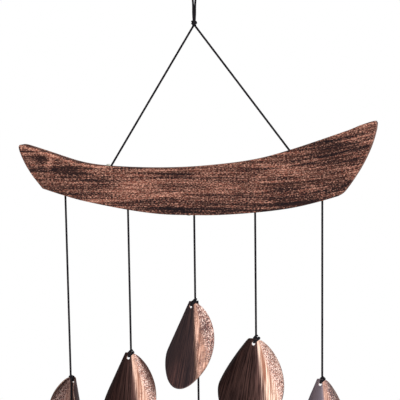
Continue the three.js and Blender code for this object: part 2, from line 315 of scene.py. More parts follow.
def copper_material(name, inside):
    """Brushed copper sheet with an antique patina, and painted shade short of the front crease; the brushing
    runs down the petal.
    """
    s = Shader(name)
    across, along, haze, polish = (s.attribute(k) for k in ("across", "along", "haze", "polish"))
    beyond, rim, seed = (s.attribute(k) for k in ("beyond", "rim", "seed"))

    def in_blank(cells):
        return s.combine(s.times(across, cells[0]), s.times(along, cells[1]), seed)

    lines = s.noise(in_blank(LINE_CELLS), 1, detail=3, roughness=0.7)
    brushed = s.noise(in_blank(FINE_LINE_CELLS), 1, detail=2, roughness=0.6)
    blotch = s.noise(in_blank(BLOTCH_CELLS), 1, detail=3, roughness=0.6, distortion=0.8)
    grit = s.noise(s.place(GRIT_STRETCH), GRIT_CELLS, detail=2, roughness=0.6)
    flecks = s.noise(s.place(GRIT_STRETCH, (4, 1, 6)), FLECK_CELLS, detail=1)

    # Past the crease the sheet is bright, then mottled except at its very edge. Short of the
    # crease it is dark: painted shade for the side of the petal turned from the light.
    mottled = s.times(s.ramp(beyond, 0.12, 0.36), s.ramp(rim, 0.3, 1.2))
    oxide_and_shade = s.total(s.swing(grit, s.ramp(mottled, 0, 1, 1.4, 7.5)), s.swing(blotch, 1.9),
                    s.swing(lines, 1.5), s.ramp(mottled, 0, 1, 0.15, 0.42),
                    s.times(s.math("SUBTRACT", 1.0, polish), 0.5))
    past = s.total(beyond, s.swing(lines, 0.16))
    # Painted shade: short of the crease the sheet is made as dark as the thickest oxide
    painted_shade = s.times(s.ramp(past, 0.06, -0.06), 0.96)
    oxide_and_shade = s.math("MAXIMUM", s.ramp(oxide_and_shade, -0.1, 1.0), painted_shade)

    gleam = s.mix(s.ramp(polish, 1.0, 1.5), *GLEAM)
    warm = s.mix(s.ramp(lines, 0.4, 0.6), BRIGHT_COPPER, gleam)
    pale = s.mix(s.ramp(flecks, 0.42, 0.6), *PALE_COPPER)
    bright = s.mix(s.ramp(mottled, 0, 0.8), warm, pale)
    if inside:
        bright = s.mix(INSIDE_SHARE, bright, INSIDE_COPPER)
    dark = s.mix(s.ramp(lines, 0.4, 0.64), *PATINA_AND_SHADE)
    # Painted shade, deeper further short of the crease
    dark = s.mix(s.ramp(beyond, -1.3, -0.15, 0.75, 0), dark, FAR_PAINTED_SHADE)
    dark = s.mix(s.ramp(brushed, 0.5, 0.75, 0, 0.5), dark, BRUSHED_PATINA)
    # The painted shade turns grey by the petal's haze, and a little of it past the crease
    dark = s.mix(s.times(haze, s.ramp(beyond, 0.04, -0.06, 0.15, 1)), dark, GREY_PAINTED_SHADE)
    s.set(color=s.mix(oxide_and_shade, bright, dark), metallic=s.ramp(oxide_and_shade, 0, 1, 1.0, 0.8),
          roughness=s.total(s.ramp(oxide_and_shade, 0, 1, 0.26, 0.42), s.times(haze, 0.1)))
    s.bump(s.total(s.times(brushed, 0.4), s.times(grit, 0.6)), COPPER_RELIEF)
    return s.material


def rim_material():
    """The cut edge of the sheet: bare copper, a little dull."""
    s = Shader("cut_copper")
    worn = s.noise(s.place(), 900, 2)
    s.set(color=s.mix(s.ramp(worn, 0.4, 0.65), (0.88, 0.62, 0.5), (0.5, 0.28, 0.2)), metallic=1.0,
          roughness=s.ramp(worn, 0.3, 0.7, 0.25, 0.45))
    return s.material


def cord_material():
    """Braided black cord, matt."""
    s = Shader("braided_cord")
    fibre = s.noise(s.place(), 3500, 2)
    s.set(color=s.mix(s.ramp(fibre, 0.35, 0.7), (0.012, 0.011, 0.013), (0.036, 0.033, 0.038)),
          roughness=s.ramp(fibre, 0.3, 0.7, 0.7, 0.9), specular=0.02)
    s.bump(fibre, CORD_RELIEF)
    return s.material


def steel_material():
    """Drawn steel wire."""
    s = Shader("steel_wire")
    drawn = s.noise(s.place(), 1400, 3, 0.6)
    s.set(color=s.mix(drawn, (0.42, 0.42, 0.43), (0.62, 0.61, 0.6)), metallic=1.0,
          roughness=s.ramp(drawn, 0.3, 0.7, 0.22, 0.38))
    s.bump(drawn, STEEL_RELIEF)
    return s.material


def glue_material():
    """Hardened glue, pale and slightly green."""
    s = Shader("glue")
    cloudy = s.noise(s.place(), 900, 2)
    s.set(color=s.mix(cloudy, (0.5, 0.52, 0.42), (0.72, 0.73, 0.64)),
          roughness=s.ramp(cloudy, 0.3, 0.7, 0.15, 0.3))
    return s.material


WOOD = wood_material()
COPPER_OUT = copper_material("copper_patina_and_shade", inside=False)
COPPER_IN = copper_material("copper_patina_and_shade_inside", inside=True)
COPPER_RIM = rim_material()
CORD = cord_material()
STEEL = steel_material()
GLUE = glue_material()

# ---- Mesh helpers ----------------------------------------------------------------------------


def add_mesh(name, vertices, faces, materials, smooth_below=40):
    mesh = bpy.data.meshes.new(name)
    mesh.from_pydata([tuple(v) for v in vertices], [], faces)
    mesh.polygons.foreach_set("use_smooth", [True] * len(mesh.polygons))
    mesh.set_sharp_from_angle(angle=math.radians(smooth_below))
    for material in materials:
        mesh.materials.append(material)
    return new_object(name, mesh)


def set_attribute(mesh, name, values):
    mesh.attributes.new(name, "FLOAT", "POINT").data.foreach_set("value", values)


def settle(piece, body, slot, *nodes):
    """The piece rides on its body and stands for its CAD nodes; its slot is not used."""
    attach(piece, body)
    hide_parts(*nodes)


def smooth_line(points, step, closed=False):
    """Points about step apart on a Catmull-Rom curve through the given ones."""
    points = [Vector(p) for p in points]
    count = len(points)
    line = []
    for i in range(count if closed else count - 1):
        if closed:
            p = [points[(i + k) % count] for k in (-1, 0, 1, 2)]
        else:
            p = [points[min(max(i + k, 0), count - 1)] for k in (-1, 0, 1, 2)]
        pieces = max(1, round((p[2] - p[1]).length / step))
        for j in range(pieces):
            t = j / pieces
            line.append(0.5 * (2 * p[1] + (p[2] - p[0]) * t
                               + (2 * p[0] - 5 * p[1] + 4 * p[2] - p[3]) * t * t
                               + (3 * p[1] - p[0] - 3 * p[2] + p[3]) * t ** 3))
    if not closed:
        line.append(points[-1])
    return line


BRAID_SIDES = 18
BRAID_STEP = 0.37 * MM
BRAID_PERIOD = 2.2 * MM
BRAID_DEPTH = 0.03
BRAID_STRANDS = 3


def tube(line, radius, closed=False, braided=True):
    """Vertices and faces of a plain wire or a cord, whose surface is raised by its braid's strands."""
    count = len(line)
    vertices, faces = [], []
    side = None
    run = 0.0
    for i, point in enumerate(line):
        ahead = line[(i + 1) % count] if closed or i + 1 < count else point
        behind = line[i - 1] if closed or i else point
        along = (ahead - behind).normalized()
        if side is None:
            side = along.orthogonal()
        side = (side - along * side.dot(along)).normalized()
        other = along.cross(side)
        run += (point - behind).length if i else 0
        for k in range(BRAID_SIDES):
            angle = 2 * math.pi * k / BRAID_SIDES
            wave = 2 * math.pi * run / BRAID_PERIOD
            raised = max(math.cos(BRAID_STRANDS * angle + turn) for turn in (wave, -wave))
            r = radius * (1 + BRAID_DEPTH * (raised - 0.5) * braided)
            vertices.append(point + side * (r * math.cos(angle)) + other * (r * math.sin(angle)))
    rings = count if closed else count - 1
    for i in range(rings):
        for k in range(BRAID_SIDES):
            a, b = i * BRAID_SIDES, ((i + 1) % count) * BRAID_SIDES
            k2 = (k + 1) % BRAID_SIDES
            faces.append((a + k, a + k2, b + k2, b + k))
    if not closed:
        last = (count - 1) * BRAID_SIDES
        faces.append(tuple(reversed(range(BRAID_SIDES))))
        faces.append(tuple(last + k for k in range(BRAID_SIDES)))
    return vertices, faces


def join(*parts):
    vertices, faces = [], []
    for part_vertices, part_faces in parts:
        shift = len(vertices)
        vertices += part_vertices
        faces += [tuple(shift + i for i in face) for face in part_faces]
    return vertices, faces


# ---- Petal placing, shared by petals, knots and cords ------------------------------------------


CENTROID_STEPS = 200


def cone_line(curl, theta):
    """The direction down the cone at an angle round it; 0 is the middle of its front."""
    return Vector((math.sin(curl) * math.sin(theta), -math.sin(curl) * math.cos(theta), -math.cos(curl)))


def cone_normal(curl, theta):
    return Vector((math.cos(curl) * math.sin(theta), -math.cos(curl) * math.cos(theta), math.sin(curl)))


def widest_angle(half_width):
    """The polar angle, in the flat blank, of the line from the cone's point that grazes its edge."""
    return math.atan(half_width / math.sqrt(BLANK_MIDDLE ** 2 - PETAL_HALF_LENGTH ** 2))


def edge_distances(phi, half_width):
    """How far from the cone's point the oval blank's edge lies, near and far, at polar angle phi."""
    a = (math.cos(phi) / PETAL_HALF_LENGTH) ** 2 + (math.sin(phi) / half_width) ** 2
    b = BLANK_MIDDLE * math.cos(phi) / PETAL_HALF_LENGTH ** 2
    c = (BLANK_MIDDLE / PETAL_HALF_LENGTH) ** 2 - 1
    root = math.sqrt(max(0.0, b * b - a * c))
    return (b - root) / a, (b + root) / a


def petal_pose(n, level):
    """The petal's cone frame in the row frame: its rotation and the place of the cone's point."""
    petal = PETALS[n, level]
    curl = math.radians(petal["curl"])
    widest = widest_angle(petal["half_width"])
    moment, area = Vector(), 0.0
    for i in range(CENTROID_STEPS):
        phi = widest * ((2 * i + 1) / CENTROID_STEPS - 1)
        near, far = edge_distances(phi, petal["half_width"])
        moment += cone_line(curl, phi / math.sin(curl)) * (far ** 3 - near ** 3) / 3
        area += (far ** 2 - near ** 2) / 2
    hang = moment / area - cone_line(curl, 0) * HOLE_AT
    tilt = math.atan2(-hang.y, -hang.z)
    rotation = (Matrix.Rotation(math.radians(petal["lean"]), 3, "Y")
                @ Matrix.Rotation(math.radians(petal["turn"]), 3, "Z")
                @ Matrix.Rotation(tilt, 3, "X"))
    knot = Vector((0, 0, -APEX_ABOVE_TIP * math.cos(curl) - KNOT_BELOW_TIP))
    apex = JOINT_PLACE[f"strand{n}_turn{level}"] - rotation @ knot * MM
    return rotation, apex


def open_side(n, level):
    """The direction, level, towards the petal's open side."""
    turn = math.radians(PETALS[n, level]["turn"])
    return Vector((-math.sin(turn), math.cos(turn), 0))


# ---- Cords -----------------------------------------------------------------------------------
CORD_INTO_BAR = 1.5 * MM
CORD_PAST_KNOT = 0.4 * MM
CORD_INTO_KNOT = 1.2 * MM
LEG_INTO_BAR = 2


def add_cord(name, points, body, node):
    line = smooth_line(points, BRAID_STEP)
    piece = add_mesh(name, *tube(line, CORD_RADIUS * CORD_FUZZ * MM), [CORD], smooth_below=80)
    settle(piece, body, "cord", node)


def add_strand_cords(n):
    start = JOINT_PLACE[f"strand{n}_swing1"] + Vector((0, 0, CORD_INTO_BAR))
    for level in LEVELS:
        knot = JOINT_PLACE[f"strand{n}_turn{level}"]
        end = knot + Vector((CORD_IN_SHIFT * MM, 0, -CORD_PAST_KNOT))
        name = f"strand{n}_cord{level}"
        add_cord(f"{name}_braid", [start, start.lerp(end, 0.5), end], name, name)
        start = knot + open_side(n, level) * CORD_OUT_BACK * MM
        start += Vector((CORD_OUT_SHIFT * MM, 0, -CORD_INTO_KNOT))


def add_legs():
    exit_point = HANGER_KNOT - Vector((0, 0, LEG_EXIT_BELOW_KNOT * MM))
    for side, (x, z) in zip(("left", "right"), LEG_HOLES):
        mouth = Vector((x * MM, 0, HANGER_KNOT.z + z * MM))
        along = (mouth - exit_point).normalized()
        line = [exit_point, exit_point.lerp(mouth, 0.5), mouth + along * LEG_INTO_BAR * MM]
        add_cord(f"{side}_leg_braid", line, "bar", f"{side}_leg_cord")


HANGER_RUN = [(0.4, 0.3, 1), (0.8, 0.15, 8), (0.95, 0, 16)]  # right, back and up from the knot
CORD_OFF_WIRE = 0.1
TURN_STEP = 30  # degrees between points where the cord rounds the ring's wire


def add_hanger_cord():
    """One cord up from the knot, round the ring's wire and back down beside itself."""
    wire_z = -2 * RING_INNER_RADIUS - RING_WIRE_RADIUS
    turn = RING_WIRE_RADIUS + CORD_RADIUS + CORD_OFF_WIRE
    up = [(x, y, HANGER_KNOT.z / MM + h) for x, y, h in HANGER_RUN]
    bend = [(turn * math.cos(math.radians(a)), 0, wire_z + turn * math.sin(math.radians(a)))
            for a in range(0, 181, TURN_STEP)]
    down = [(-x, -y, z) for x, y, z in reversed(up)]
    points = [Vector(p) * MM for p in up + bend + down]
    add_cord("hanger_braid", points, "hanger_cord", "hanger_cord")


for n in STRANDS:
    add_strand_cords(n)
add_legs()
add_hanger_cord()

# ---- Knots -----------------------------------------------------------------------------------
KNOT_CORD_RADIUS = 0.6
# A lump is two turns of cord, each leaning one way: its shape, and how far it keeps inside the lump
TURN_TILTS = (25, -40)
TURN_POINTS = 12
TURN_OVAL = 0.8
TURN_WAVE = 0.15
TURN_INSET = 0.7 * KNOT_CORD_RADIUS
SMALLEST_TURN = 0.15


def knot_tube(points, to_row):
    line = smooth_line([to_row @ (p * MM) for p in points], BRAID_STEP, closed=True)
    return tube(line, KNOT_CORD_RADIUS * MM, closed=True)


def wound(middle, half, to_row, turn):
    """One lump of a knot, its half sizes given, turned by so many degrees."""
    reach = [max(SMALLEST_TURN, size - TURN_INSET) for size in half]
    loops = []
    for k, tilt in enumerate(TURN_TILTS):
        spin = Matrix.Rotation(math.radians(turn + 90 * k), 3, "Z")
        spin = spin @ Matrix.Rotation(math.radians(tilt), 3, "X")
        line = []
        for i in range(TURN_POINTS):
            a = 2 * math.pi * i / TURN_POINTS
            p = spin @ Vector((math.cos(a), math.sin(a) * TURN_OVAL, TURN_WAVE * math.sin(2 * a)))
            line.append(middle + Vector(p[j] * reach[j] for j in range(3)))
        loops.append(knot_tube(line, to_row))
    return join(*loops)


# The petal knot's lumps: middle and half sizes, to the left, to the front and up from its joint
KNOT_LUMPS = [((-0.6, 0.5, 0.2), (0.9, 0.9, 0.8)), ((0.5, 0.9, -0.4), (1.3, 1.2, 1.0)),
              ((1.6, 1.9, -1.4), (0.9, 0.8, 0.9)), ((0.0, 2.1, -1.8), (1.1, 0.8, 1.1))]
LUMPS_INSIDE = 2  # how many there are where the petal is seen from inside
KNOT_FACING = Vector((0.3, -2, 0))  # added to the petal's own direction, so knots face the front
STRAND_TURN, LEVEL_TURN, LUMP_TURN = 31, 67, 50  # degrees, so that the lumps differ
LOOPS_OVER = (12, 34, 57)  # where each turn passes over the tip's edge, in degrees round the cone
LOOP_REACH = KNOT_CORD_RADIUS + PETAL_THICKNESS / 2
# A turn's stops: distance from the cone's point, share of its angle, and how far off the sheet
LOOP_STOPS = [(APEX_ABOVE_TIP - 0.3, 1, 0.2), (APEX_ABOVE_TIP + 0.9, 1, LOOP_REACH),
              (HOLE_AT - 2.2, 0.5, LOOP_REACH), (HOLE_AT - 0.9, 0.15, 0.5 * LOOP_REACH),
              (HOLE_AT - 1.0, 0.15, -0.5 * LOOP_REACH), (HOLE_AT - 2.4, 0.5, -LOOP_REACH),
              (APEX_ABOVE_TIP + 0.9, 1, -LOOP_REACH)]


def hole_turn(curl, over):
    """One turn of cord on the petal's cone: down its front, through the hole and up inside."""
    return [cone_line(curl, share * over) * distance + cone_normal(curl, share * over) * off
            for distance, share, off in LOOP_STOPS]


def add_petal_knot(n, level):
    """The knot tied over the petal's tip, and the turns of cord that pass through its hole."""
    rotation, apex = petal_pose(n, level)
    curl = math.radians(PETALS[n, level]["curl"])
    knot = JOINT_PLACE[f"strand{n}_turn{level}"]
    turn = math.radians(PETALS[n, level]["turn"])
    outward = Vector((math.sin(turn), -math.cos(turn), 0))
    inside_seen = abs(math.degrees(turn)) > 90
    if inside_seen:  # the petal's front points back, and the knot faces the front all the same
        outward = -outward
    outward = (outward + KNOT_FACING).normalized()
    left = Vector((0, 0, 1)).cross(-outward)
    to_row = Matrix.Translation(knot) @ Matrix((left, outward, (0, 0, 1))).transposed().to_4x4()
    lumps = [wound(Vector(middle), half, to_row, STRAND_TURN * n + LEVEL_TURN * level + LUMP_TURN * i)
             for i, (middle, half) in enumerate(KNOT_LUMPS[:LUMPS_INSIDE] if inside_seen else KNOT_LUMPS)]
    to_petal = Matrix.Translation(apex) @ rotation.to_4x4()
    loops = [knot_tube(hole_turn(curl, math.radians(over)), to_petal) for over in LOOPS_OVER]
    piece = add_mesh(f"strand{n}_tied_knot{level}", *join(*lumps, *loops), [CORD], smooth_below=80)
    settle(piece, f"strand{n}_petal{level}", "cord", f"strand{n}_knot{level}")


# The hanger knot's lumps: middle and half sizes along X, Y and Z, from its middle
HANGER_LUMPS = [((-0.7, 0, 1.2), (1.8, 1.6, 1.6)), ((0.8, 0.2, 0.2), (1.7, 1.7, 1.9)),
                ((-0.7, -0.2, -0.5), (1.7, 1.6, 1.6)), ((0.1, -0.3, -1.7), (1.8, 1.6, 1.3))]
HANGER_LUMP_TURN = 40


def add_hanger_knot():
    lumps = [wound(Vector(middle), half, Matrix.Translation(HANGER_KNOT), HANGER_LUMP_TURN * i)
             for i, (middle, half) in enumerate(HANGER_LUMPS)]
    piece = add_mesh("hanger_tied_knot", *join(*lumps), [CORD], smooth_below=80)
    settle(piece, "hanger_knot", "cord", "hanger_knot")


# ---- Petals ----------------------------------------------------------------------------------
COLUMNS = 96
ROWS = 52
OUTERMOST_COLUMN = math.radians(87)
FOLD_WIDTH = 0.04  # polar angle, in radians, over which a crease turns
FRAME_STEP = 0.002
TINY = 1e-9
BUNCHED = 0.6  # share of the rows' spacing that narrows towards the tip,
BUNCHED_POWER = 1.5  # and how fast
DENT_DEPTH = 0.12
DENT_SIZE = 16
DENT_FADE = 12  # no dents at the hole, full ones this far below it
JUST_INSIDE = 0.999  # a share of the polar angle at which the edge can still be found


def sheet_frames(petal, columns):
    """(direction, outward normal) of the sheet's straight line at each polar angle.

    The sheet turns by the same amount in all as a plain cone; each crease takes its share at once.
    """
    curl = math.radians(petal["curl"])
    front_at, back_at = math.radians(petal["crease_at"]), math.radians(petal["back_crease_at"])
    front, back = math.radians(petal["crease"]), math.radians(petal["back_crease"])
    widest = columns[-1] / math.sin(OUTERMOST_COLUMN)
    side = math.copysign(1, front_at)

    def crease(phi, angle, at):
        return angle * math.exp(-(((phi - at) / FOLD_WIDTH) ** 2)) / (FOLD_WIDTH * math.sqrt(math.pi))

    def turning(phi):
        rate = 1 / math.tan(curl) + crease(phi, front, front_at) + crease(phi, back, back_at)
        rate -= front / (widest + abs(front_at)) * (phi * side > -abs(front_at))
        return rate - back / widest * (phi * side < 0)

    found = {}
    for sign in (1, -1):
        line, normal = cone_line(curl, 0), cone_normal(curl, 0)
        phi = 0.0
        for target in sorted((c for c in columns if c * sign >= 0), key=abs):
            while abs(target - phi) > TINY:
                step = sign * min(FRAME_STEP, abs(target - phi))
                spin = normal - line * turning(phi + step / 2)
                by = Matrix.Rotation(spin.length * step, 3, spin)
                line, normal = by @ line, by @ normal
                phi += step
            found[target] = (line.copy(), normal.copy())
    return [found[c] for c in columns]


def add_petal(n, level):
    petal = PETALS[n, level]
    widest = widest_angle(petal["half_width"])
    columns = [widest * math.sin(OUTERMOST_COLUMN * (2 * i / COLUMNS - 1)) for i in range(COLUMNS + 1)]
    columns[COLUMNS // 2] = 0.0
    frames = sheet_frames(petal, columns)
    seed = 10 * n + level

    flat = []  # each point in the flat blank: distance from the cone's point, and polar angle
    for phi in columns:
        near, far = edge_distances(phi, petal["half_width"])
        for j in range(ROWS + 1):
            t = j / ROWS
            t = BUNCHED * t ** BUNCHED_POWER + (1 - BUNCHED) * t
            distance = near + (far - near) * t
            flat.append([distance, phi])

    def in_blank(distance, phi):
        return Vector((distance * math.sin(phi), distance * math.cos(phi) - HOLE_AT))

    # Points near the hole move onto its rim, and the faces inside it are left out
    inside = [in_blank(*f).length < PETAL_HOLE_RADIUS for f in flat]
    quads = []
    rim_points = set()
    for i in range(COLUMNS):
        for j in range(ROWS):
            a = i * (ROWS + 1) + j
            quad = (a, a + 1, a + ROWS + 2, a + ROWS + 1)
            if sum(inside[k] for k in quad) >= 3:
                rim_points.update(quad)
            else:
                quads.append(quad)
    used = {k for quad in quads for k in quad}
    for k in used:
        if k in rim_points or inside[k]:
            place = in_blank(*flat[k]).normalized() * PETAL_HOLE_RADIUS
            place.y += HOLE_AT
            flat[k] = [place.length, math.atan2(place.x, place.y)]

    def on_sheet(distance, phi, i):
        line, normal = frames[i]
        turn_back = phi - columns[i]
        tangent = normal.cross(line)
        direction = (line + tangent * turn_back).normalized()
        x, y = in_blank(distance, phi)
        dent = noise.noise(Vector((x / DENT_SIZE, y / DENT_SIZE, seed))) * DENT_DEPTH
        dent *= min(1.0, max(0.0, (distance - HOLE_AT) / DENT_FADE))
        return direction * distance + normal * dent

    order = sorted(used)
    renumber = {k: m for m, k in enumerate(order)}
    rotation, apex = petal_pose(n, level)
    vertices = [apex + rotation @ on_sheet(*flat[k], k // (ROWS + 1)) * MM for k in order]
    faces = [tuple(renumber[k] for k in quad) for quad in quads]
    piece = add_mesh(f"strand{n}_petal{level}_sheet", vertices, faces,
                     [COPPER_OUT, COPPER_IN, COPPER_RIM])
    mesh = piece.data
    set_attribute(mesh, "across", [(flat[k][1] / widest + in_blank(*flat[k]).x / petal["half_width"]) / 2
                                   for k in order])
    set_attribute(mesh, "along", [(flat[k][0] - APEX_ABOVE_TIP) / (2 * PETAL_HALF_LENGTH) for k in order])
    crease = math.radians(petal["crease_at"])
    side = math.copysign(1, crease)
    set_attribute(mesh, "beyond", [side * (flat[k][1] - crease) / widest for k in order])
    for trait in ("haze", "polish"):
        set_attribute(mesh, trait, [petal[trait]] * len(order))
    set_attribute(mesh, "seed", [float(seed)] * len(order))
    rim = []
    for k in order:
        distance, phi = flat[k]
        near, far = edge_distances(max(-widest, min(widest, phi)) * JUST_INSIDE, petal["half_width"])
        rim.append(min(distance - near, far - distance, in_blank(distance, phi).length))
    set_attribute(mesh, "rim", rim)

    thick = piece.modifiers.new("thickness", "SOLIDIFY")
    thick.thickness = PETAL_THICKNESS * MM
    thick.offset = 0
    thick.use_even_offset = True
    thick.material_offset = 1
    thick.material_offset_rim = 2
    settle(piece, f"strand{n}_petal{level}", "copper", f"strand{n}_petal{level}")


# ---- Bar -------------------------------------------------------------------------------------
STATIONS = 250
FACE_ROWS = 30
EDGE_ROWS = 8
LEFT_STATIONS, RIGHT_STATIONS = 30, 46  # of all stations, along each end of the lower line
OUTLINE_STEP = 0.5
CORNER = 0.9
CORNER_SHARE = 0.4  # of the bar's height there, where that is less
CORNER_STEPS = 3
CARVED_SIZE, CARVED_DEPTH = (38, 9, 22), 0.25
GRAIN_SIZE, GRAIN_DEPTH = (34, 5, 1.7), 0.1
DIG_FROM = 0.12  # the surface is dug wherever the two noises add up to less than this,
DIG_FADE = 2  # and not at all this far in from the broad faces
BEND_FROM = 40  # right of here the grain bends upwards,
GRAIN_BEND = 0.0012  # by this times the distance squared


def resample(points, count):
    """count + 1 points evenly along a Catmull-Rom curve through the given ones."""
    line = smooth_line([(x, 0, z) for x, z in points], OUTLINE_STEP)
    runs = [0.0]
    for a, b in zip(line, line[1:]):
        runs.append(runs[-1] + (b - a).length)
    out, k = [], 0
    for i in range(count + 1):
        want = runs[-1] * i / count
        while k < len(runs) - 2 and runs[k + 1] < want:
            k += 1
        t = (want - runs[k]) / max(TINY, runs[k + 1] - runs[k])
        out.append(line[k].lerp(line[k + 1], min(1.0, t)))
    return out


def bar_section(low, high):
    """Points round the bar at one station, from its lower line to its upper line, in mm.

    Each comes with how far it is from the nearer line, and how far in from the nearer broad face.
    """
    up = high - low
    height = up.length
    up = up.normalized()
    corner = min(CORNER, CORNER_SHARE * height)
    half = BAR_THICKNESS / 2
    ring = []

    def arc(centre_v, centre_y, start):
        for k in range(1, CORNER_STEPS):
            a = start + math.pi / 2 * k / CORNER_STEPS
            ring.append((centre_v + corner * math.sin(a), centre_y - corner * math.cos(a)))

    for k in range(FACE_ROWS + 1):
        ring.append((corner + (height - 2 * corner) * k / FACE_ROWS, -half))
    arc(height - corner, corner - half, 0)
    for k in range(EDGE_ROWS + 1):
        ring.append((height, corner - half + (2 * half - 2 * corner) * k / EDGE_ROWS))
    arc(height - corner, half - corner, math.pi / 2)
    for k in range(FACE_ROWS + 1):
        ring.append((height - corner - (height - 2 * corner) * k / FACE_ROWS, half))
    arc(corner, half - corner, math.pi)
    for k in range(EDGE_ROWS + 1):
        ring.append((0, half - corner - (2 * half - 2 * corner) * k / EDGE_ROWS))
    arc(corner, corner - half, 1.5 * math.pi)
    return [(low + up * v + Vector((0, y, 0)), min(v, height - v), half - abs(y)) for v, y in ring]


# Where the copper was rubbed on (above 0) or the stain shows (below 0): middle, half sizes, amount
RUBBED_PATCHES = [
    ((-122, -115), (2.5, 3), 2.2), ((-124, -121.5), (2, 5), 1.3), ((-131, -115.5), (4.5, 3.5), -2.2),
    ((-105, -125), (16, 4.5), -1.6), ((-80, -131.5), (9, 2), -1.2), ((-54, -139), (30, 10), 0.9),
    ((-82, -150.5), (22, 3), 0.8), ((-20, -156.5), (20, 4), -1.4), ((-10, -127), (20, 2), -1.1),
    ((24, -138), (22, 6), 0.9), ((70, -119.5), (14, 4.5), 1.3), ((80, -121), (8, 4), 0.8),
    ((50, -155), (44, 3.5), -1.5), ((88, -149.5), (22, 4.5), -1.5), ((40, -141.5), (8, 3), -0.9),
    ((82, -137), (12, 4), -0.8), ((117, -100), (17, 4.5), -1.0), ((111, -110), (16, 7), -1.1),
    ((105, -141), (13, 5), 0.8), ((148, -91), (9, 8), 1.1), ((134, -124), (7, 5), 0.9),
    ((8, -126), (10, 3), 0.9), ((143, -97), (8, 1.2), 1.4), ((128, -97), (10, 1.4), 1.2),
    ((102, -114), (12, 1.2), 1.3), ((92, -127), (9, 1.5), 1.0), ((62, -132), (12, 1.5), 1.0),
]


RUBBED_LINE = (1.3, 1.1)  # below the top edge: how deep its middle is, and its half width
RUBBED_FACE = 1.5  # how far round the edge the rubbing on the front reaches
RUBBED_END_WIDTH = 1.4
RIGHT_END_FROM, LEFT_END_FROM = 124, -60
CLEAR_OF_TOP = 5
TOP_FACE_FROM = 1.2
# The last of these takes copper off the narrow faces, painted shade on the bar's top; the top gain below
# lifts it towards the right
LINE_AMOUNT, END_AMOUNT, TOP_FACE_SHADE = 0.5, 0.6, -1.2
# Amounts that set in along the bar: how much, and from which X to which
LINE_GAIN = (1.9, -58, -78)
TOP_GAIN = (1.6, -45, 5)
RIGHT_GAIN = (-0.4, 20, 90)
LEFT_GAIN = (-0.3, -40, -100)


def set_in(x, amount, low, high):
    t = min(1.0, max(0.0, (x - low) / (high - low)))
    return amount * (t * t * (3 - 2 * t))


def rub_and_shade_amount(point, from_line, from_face, below_top):
    """How much more or less copper than usual: patches, rubbed edges and ends, and less on the narrow faces
    at the left as painted shade. The back has none.
    """
    if point.y > 0:
        return 0.0
    amount = sum(a * math.exp(-((point.x - x) / w) ** 2 - ((point.z - z) / h) ** 2)
                 for (x, z), (w, h), a in RUBBED_PATCHES)
    depth, width = RUBBED_LINE
    near_top = math.exp(-((below_top - depth) / width) ** 2) * (from_face < RUBBED_FACE)
    amount += near_top * (LINE_AMOUNT + set_in(point.x, *LINE_GAIN))
    near_end = point.x > RIGHT_END_FROM or point.x < LEFT_END_FROM and below_top > CLEAR_OF_TOP
    amount += near_end * END_AMOUNT * math.exp(-(from_line / RUBBED_END_WIDTH) ** 2)
    # Narrow faces: darker at the left as painted shade where the bar's top is in less light, lighter to the
    # right
    if from_face > TOP_FACE_FROM:
        amount += set_in(point.x, *TOP_GAIN) + TOP_FACE_SHADE
    return amount + set_in(point.x, *RIGHT_GAIN) + set_in(point.x, *LEFT_GAIN)


def rough(p, size, depth):
    return noise.noise(Vector((p.x / size[0], p.y / size[1], p.z / size[2]))) * depth


def add_bar():
    lower = resample(LEFT_END[::-1] + [BOTTOM_EDGE[-1]], LEFT_STATIONS)
    lower += resample(BOTTOM_EDGE[::-1], STATIONS - LEFT_STATIONS - RIGHT_STATIONS)[1:]
    lower += resample([BOTTOM_EDGE[0]] + RIGHT_END[::-1] + [RIGHT_TIP], RIGHT_STATIONS)[1:]
    upper = resample([LEFT_END[-1]] + TOP_EDGE + [RIGHT_TIP], STATIONS)
    vertices, rub_and_shade = [], []
    for i in range(1, STATIONS):
        for point, from_line, from_face in bar_section(lower[i], upper[i]):
            vertices.append(point)
            rub_and_shade.append(rub_and_shade_amount(point, from_line, from_face, upper[i].z - point.z))
    size = len(vertices) // (STATIONS - 1)
    faces = []
    for i in range(STATIONS - 2):
        for k in range(size):
            a, b = i * size, (i + 1) * size
            k2 = (k + 1) % size
            faces.append((a + k, b + k, b + k2, a + k2))
    faces.append(tuple(range(size)))
    last = (STATIONS - 2) * size
    faces.append(tuple(last + k for k in reversed(range(size))))

    # Carved hollows and open grain, dug into the broad faces only
    half = BAR_THICKNESS / 2
    shaped = []
    for p in vertices:
        inward = min(1.0, max(0.0, (abs(p.y) - half + DIG_FADE) / DIG_FADE))
        wave = rough(p, CARVED_SIZE, CARVED_DEPTH)
        grain = rough(p, GRAIN_SIZE, GRAIN_DEPTH)
        dig = min(0.0, wave + grain - DIG_FROM) * inward
        shaped.append(Vector((p.x, p.y + math.copysign(dig, p.y), p.z)))
    in_row = [p * MM + Vector((0, 0, HANGER_KNOT.z)) for p in shaped]
    piece = add_mesh("bar_wood", in_row, faces, [WOOD], smooth_below=35)
    set_attribute(piece.data, "rub_and_shade", rub_and_shade)
    set_attribute(piece.data, "grain_rise",
                  [GRAIN_BEND * max(0.0, p.x - BEND_FROM) ** 2 * MM for p in shaped])
    drill(piece)
    settle(piece, "bar", "wood", "top_bar")


HOLE_SIDES = 20
DRILL_OVERRUN = 4


